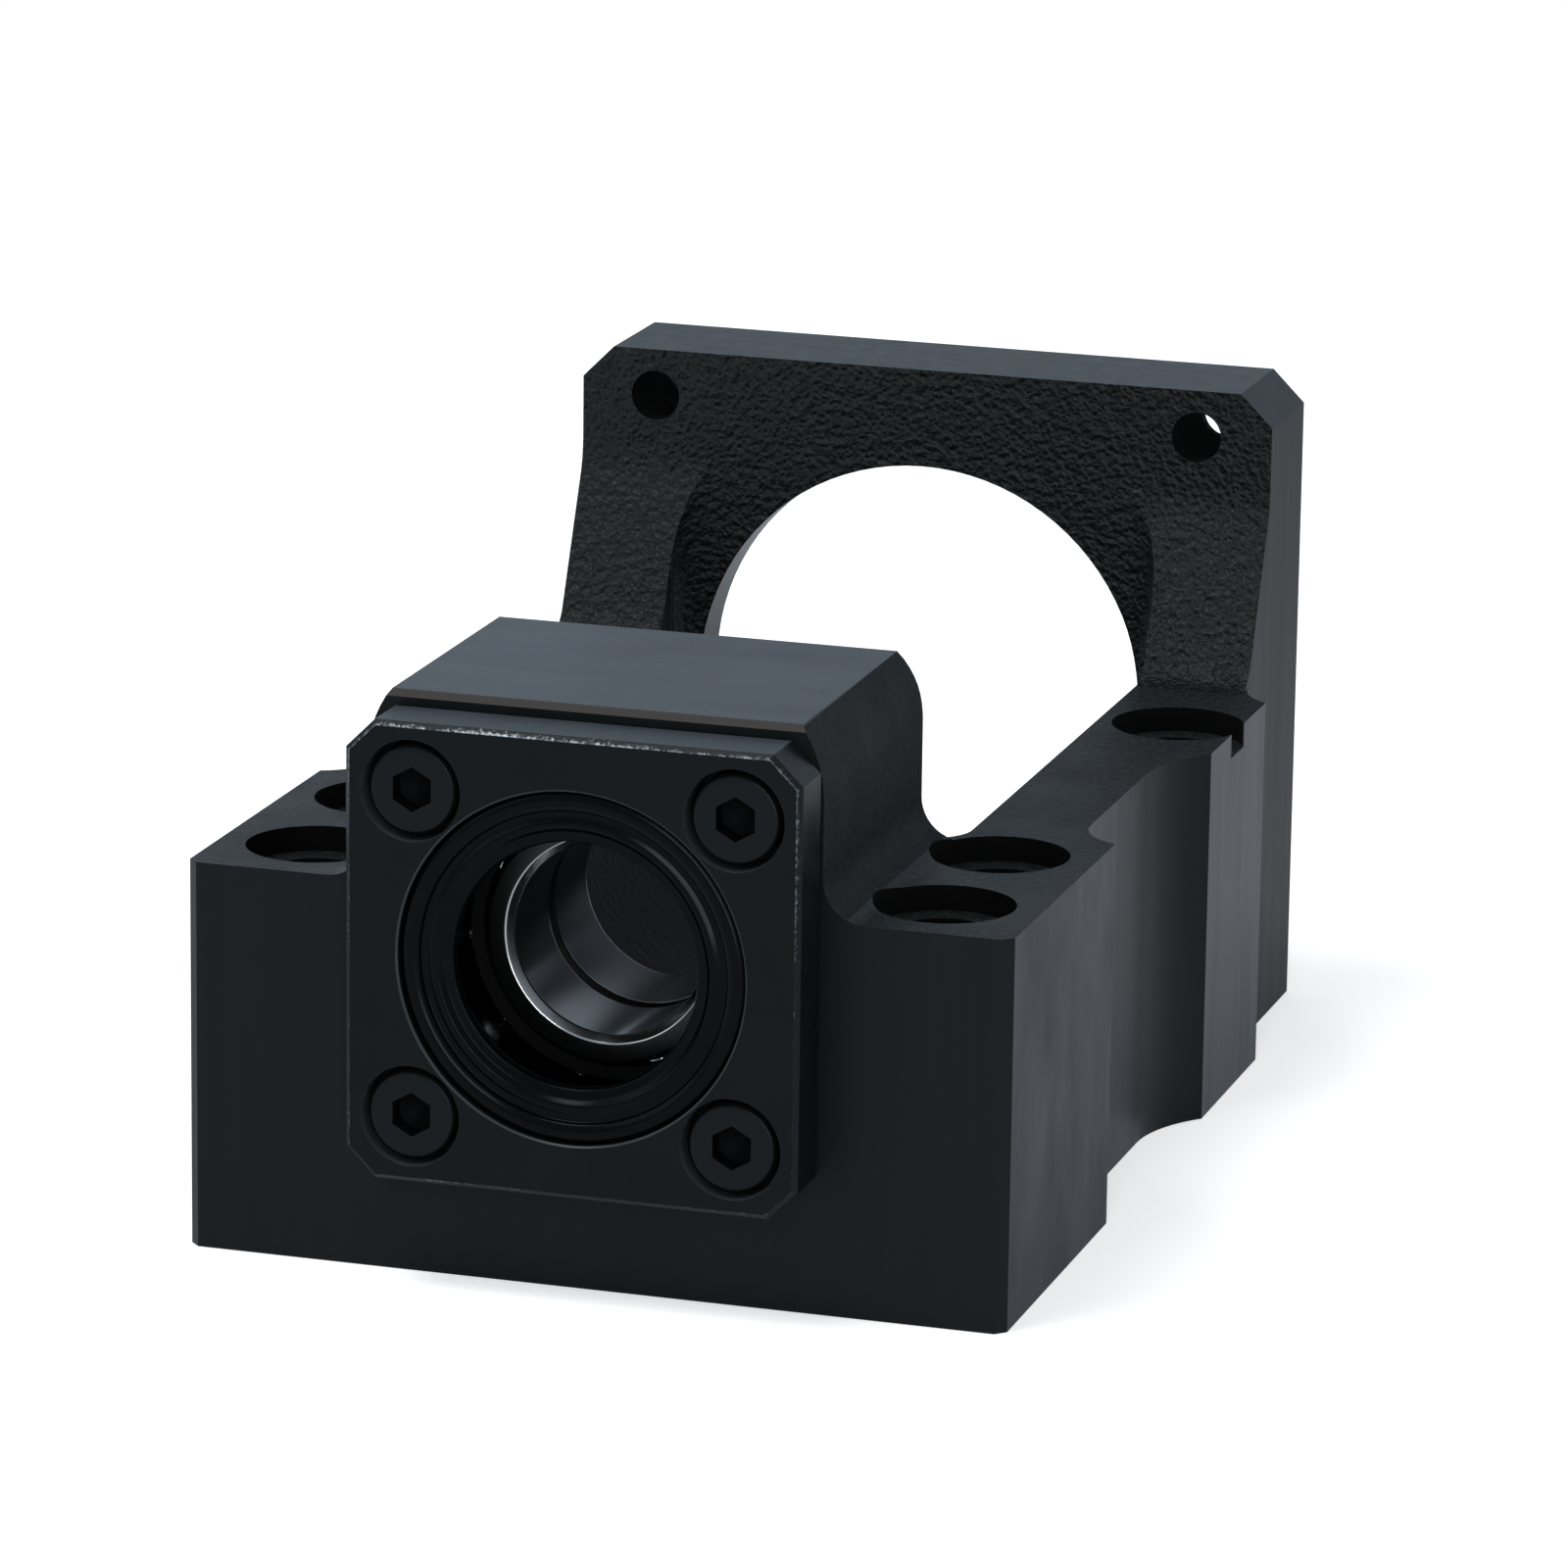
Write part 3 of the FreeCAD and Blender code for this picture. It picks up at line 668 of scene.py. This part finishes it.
coverPlate = {
    "rimMm": 15.0,          # the outer edges lie beyond this, across and up from the axis
    "leadInMm": 14.5,       # the seal's lead-in lies within this radius
    "edgeMm": 0.12,
}
coverScrew = {
    "headMm": 7.0, "boreMm": 4.1,
    "socketMm": 1.75, "socketDepthMm": 2.6, "socketRimMm": 0.05,
    "edgeMm": 0.07,
}
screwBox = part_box("cover_screws")
screwOffset = screwBox[1].x / mm - coverScrew["headMm"] / 2
headFace = (screwBox[0].y - frontY) / mm


def coverFaceFinish(place, turn):
    up = place.z - casting["axisHeight"]
    if turn.z > squarely and up > coverPlate["rimMm"]:
        return litCoverTopFinish
    fromScrew = math.hypot(place.x - screwOffset, abs(up) - screwOffset)
    if abs(turn.y) < partly and fromScrew < coverScrew["boreMm"]:
        return leadInFinish
    if not -nearly < turn.y < -partly:
        return coverFinish
    if max(place.x, abs(up)) > coverPlate["rimMm"]:
        return rubbedFinish
    return leadInFinish if math.hypot(place.x, up) < coverPlate["leadInMm"] else coverFinish


cover = pieceFrom("bearing_cover", "bearingCover", "frame")
paint(cover, [coverFinish, litCoverTopFinish, rubbedFinish, leadInFinish], coverFaceFinish)
breakEdges(cover, coverPlate["edgeMm"])


def screwFaceFinish(place, turn):
    fromScrew = math.hypot(place.x - screwOffset, abs(place.z - casting["axisHeight"]) - screwOffset)
    inDepth = coverScrew["socketRimMm"] < place.y - headFace < coverScrew["socketDepthMm"]
    inSocket = fromScrew < coverScrew["socketMm"] and inDepth
    return shadedSocketFinish if inSocket or turn.y > -nearly else screwFinish


screws = pieceFrom("cover_screws", "coverScrews", "frame")
paint(screws, [screwFinish, shadedSocketFinish], screwFaceFinish)
breakEdges(screws, coverScrew["edgeMm"])
print("cover and screws dressed")

# section of each seal: radius, depth behind its face and corner round, all in mm
frontSeal = {
    "faceY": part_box("front_seal")[0].y, "inward": 1,
    "section": [
        (13.58, 0.6, 0.1), (13.5, 0.26, 0.2), (13.18, 0.07, 1.1), (12.8, 0.0, 1.1), (12.42, 0.07, 1.1),
        (12.1, 0.26, 0.3), (11.95, 0.62, 0.2), (11.5, 0.62, 0.3), (11.1, 0.44, 0.5), (10.75, 0.42, 0.5),
        (10.3, 0.85, 0.3), (9.62, 0.95, 0.25), (9.4, 1.5, 0.2), (9.9, 2.5, 0.1), (10.7, 2.5, 0.2),
        (12.35, 3.95, 0.3), (13.58, 3.95, 0.1),
    ],
}
rearSeal = {
    "faceY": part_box("rear_seal")[1].y, "inward": -1,
    "section": [
        (12.49, 0.0, 0.1), (11.3, 0.0, 0.2), (11.05, 0.5, 0.15), (10.7, 0.5, 0.15),
        (10.2, 1.0, 0.3), (9.62, 1.0, 0.25), (9.4, 1.5, 0.2), (9.9, 2.5, 0.1), (11.3, 2.55, 0.1),
        (12.49, 2.55, 0.1),
    ],
}
sealRounds = {
    "around": 160, "perCorner": 5,
    "reach": 0.45,          # a round takes at most this share of the shorter side beside it
}


# a section's corners replaced by small arcs
def roundedSection(section):
    points = []
    for i, (radius, depth, turnRadius) in enumerate(section):
        here = Vector((radius, depth))
        before = Vector(section[i - 1][:2]) - here
        after = Vector(section[(i + 1) % len(section)][:2]) - here
        half = before.angle(after) / 2
        reach = min(turnRadius / math.tan(half), sealRounds["reach"] * min(before.length, after.length))
        start = here + before.normalized() * reach
        end = here + after.normalized() * reach
        for step in range(sealRounds["perCorner"] + 1):
            past = step / sealRounds["perCorner"]
            points.append((1 - past) ** 2 * start + 2 * past * (1 - past) * here + past ** 2 * end)
    return points


def mouldedSeal(nodeName, pieceName, seal):
    section = roundedSection(seal["section"])
    work = bmesh.new()
    rings = []
    for i in range(sealRounds["around"]):
        angle = 2 * math.pi * i / sealRounds["around"]
        ring = []
        for radius, depth in section:
            x = radius * math.cos(angle) * mm
            z = radius * math.sin(angle) * mm + axisPoint.z
            ring.append(work.verts.new((x, seal["faceY"] + seal["inward"] * depth * mm, z)))
        rings.append(ring)
    for i, ring in enumerate(rings):
        following = rings[(i + 1) % len(rings)]
        for j in range(len(section)):
            k = (j + 1) % len(section)
            work.faces.new((ring[j], ring[k], following[k], following[j]))
    piece = fixedPiece(work, pieceName, sealFinish)
    piece.data.shade_smooth()
    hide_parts(nodeName)


mouldedSeal("front_seal", "frontLipSeal", frontSeal)
mouldedSeal("rear_seal", "rearLipSeal", rearSeal)
print("seals turned")


def finishNode(nodeName, finish):
    mesh = nodes[nodeName].data
    mesh.materials.clear()
    mesh.materials.append(finish)


innerRing = {
    "lipMm": 8.3, "lipTilt": 0.3,       # the bore's lips lie within this radius and lean at least this much
    "edgeMm": 0.12, "edgeSteps": 3,
}


def innerRingFinish(place, turn):
    if abs(turn.y) > squarely:
        return shadedRingFaceFinish
    fromAxis = math.hypot(place.x, place.z - casting["axisHeight"])
    onLip = abs(turn.y) > innerRing["lipTilt"] and fromAxis < innerRing["lipMm"]
    return highlitRingLipFinish if onLip else ringFinish


for end in ("front", "rear"):
    ring = pieceFrom(end + "_inner_ring", end + "InnerRing", end + "_race")
    paint(ring, [ringFinish, shadedRingFaceFinish, highlitRingLipFinish], innerRingFinish)
    breakEdges(ring, innerRing["edgeMm"], innerRing["edgeSteps"])
    finishNode(end + "_outer_ring", ringFinish)
    finishNode(end + "_cage", cageFinish)
for name in nodes:
    if "_ball_" in name:
        finishNode(name, ballFinish)
print("bearings dressed")

stage = {
    "floor": "#f0f2f4", "floorRoughness": 0.9, "floorGlow": 0.48,
    "reachM": 0.42, "sides": 96, "dropMm": 0.05,        # the floor lies a little under the base
    "surround": "#d6e6f7", "worldFill": 0.35,
}


# whether the eye or a reflection sees this ray, and a white that is cooler in reflections
def seenRays(tree):
    ray = addNode(tree, "ShaderNodeLightPath")
    bounced = addNode(tree, "ShaderNodeMath", {"operation": "MAXIMUM"}, {
        0: ray.outputs["Is Glossy Ray"], 1: ray.outputs["Is Transmission Ray"]})
    shown = addNode(tree, "ShaderNodeMath", {"operation": "MAXIMUM"}, {
        0: bounced.outputs[0], 1: ray.outputs["Is Camera Ray"]})
    white = addNode(tree, "ShaderNodeMix", {
        "data_type": "RGBA", 6: linear("#ffffff"), 7: linear(stage["surround"])}, {0: bounced.outputs[0]})
    return shown.outputs[0], white.outputs[2]


# a plain round floor that glows white to the eye and to reflections only
def addFloor():
    mesh = bpy.data.meshes.new("studioFloor")
    turns = [2 * math.pi * i / stage["sides"] for i in range(stage["sides"])]
    rim = [(stage["reachM"] * math.cos(turn), stage["reachM"] * math.sin(turn), 0) for turn in turns]
    mesh.from_pydata(rim, [], [range(stage["sides"])])
    floor = bpy.data.objects.new("studioFloor", mesh)
    scene.collection.objects.link(floor)
    floor.location.z = -stage["dropMm"] * mm
    material, tree, shader = newMaterial("paintedStudioFloor", {
        "Base Color": linear(stage["floor"]), "Roughness": stage["floorRoughness"],
        "Specular IOR Level": 0.0})
    shown, white = seenRays(tree)
    glow = addNode(tree, "ShaderNodeMath", {"operation": "MULTIPLY", 1: stage["floorGlow"]}, {0: shown})
    tree.links.new(white, shader.inputs["Emission Color"])
    tree.links.new(glow.outputs[0], shader.inputs["Emission Strength"])
    mesh.materials.append(material)


# a white surround: full to the eye and to reflections, a soft fill to everything else
def addSurround():
    world = bpy.data.worlds.new("whiteStudio")
    scene.world = world
    world.use_nodes = True
    tree = world.node_tree
    tree.nodes.clear()
    shown, white = seenRays(tree)
    strength = addNode(tree, "ShaderNodeMapRange", {"To Min": stage["worldFill"], "To Max": 1.0}, {
        "Value": shown})
    sky = addNode(tree, "ShaderNodeBackground", links={"Color": white, "Strength": strength.outputs[0]})
    addNode(tree, "ShaderNodeOutputWorld", links={"Surface": sky.outputs[0]})


# soft boxes, and a strip for the glints: place, aim and size in metres, roll in degrees, power in watts
lamps = {
    "overheadSoftbox": {
        "place": (-0.31, -0.28, 1.0), "aim": (0, 0, 0.03), "size": (0.5, 0.4), "roll": 0, "watts": 6},
    "rightSoftbox": {
        "place": (1.1, 0.2, 0.5), "aim": (0, 0, 0.02), "size": (0.9, 0.7), "roll": 0, "watts": 4},
    "leftSoftbox": {
        "place": (-0.9, -0.6, 0.6), "aim": (0, 0, 0.02), "size": (0.8, 0.8), "roll": 0, "watts": 2.5},
    "glintStrip": {
        "place": (0.22, -0.7, 0.19), "aim": (0, -0.05, 0.03), "size": (0.08, 0.5), "roll": 30, "watts": 2.2},
}
lampColour = "#fafcff"


def addLamps():
    for name, lamp in lamps.items():
        light = bpy.data.lights.new(name, "AREA")
        light.shape = "RECTANGLE"
        light.size, light.size_y = lamp["size"]
        light.energy = lamp["watts"]
        light.color = linear(lampColour)[:3]
        holder = bpy.data.objects.new(name, light)
        scene.collection.objects.link(holder)
        holder.location = lamp["place"]
        aim = (Vector(lamp["aim"]) - Vector(lamp["place"])).to_track_quat("-Z", "Y")
        roll = Quaternion((0, 0, 1), math.radians(lamp["roll"]))
        holder.rotation_euler = (aim @ roll).to_euler()


# the photograph's viewpoint: a long lens, a little above and to the right
viewpoint = {
    "azimuth": 17.155, "elevation": 14.707, "roll": 0.761,
    "aimMm": (2.60, -6.37, 29.97), "distanceMm": 650.7, "lensMm": 189.27,
    "sensorMm": 36, "nearM": 0.01,
}


def addCamera():
    azimuth = math.radians(viewpoint["azimuth"])
    elevation = math.radians(viewpoint["elevation"])
    roll = math.radians(viewpoint["roll"])
    flat = math.cos(elevation)
    back = Vector((math.sin(azimuth) * flat, -math.cos(azimuth) * flat, math.sin(elevation)))
    level = Vector((math.cos(azimuth), math.sin(azimuth), 0))
    rise = back.cross(level)
    right = level * math.cos(roll) + rise * math.sin(roll)
    up = rise * math.cos(roll) - level * math.sin(roll)
    place = (Vector(viewpoint["aimMm"]) + back * viewpoint["distanceMm"]) * mm
    lens = bpy.data.cameras.new("photoCamera")
    lens.lens = viewpoint["lensMm"]
    lens.sensor_width = viewpoint["sensorMm"]
    lens.clip_start = viewpoint["nearM"]
    camera = bpy.data.objects.new("photoCamera", lens)
    scene.collection.objects.link(camera)
    turn = Matrix((right, up, back)).transposed().to_4x4()
    camera.matrix_world = Matrix.Translation(place) @ turn
    scene.camera = camera


addFloor()
addSurround()
addLamps()
addCamera()
scene.view_settings.view_transform = "Standard"
print("stage, lamps and camera set")
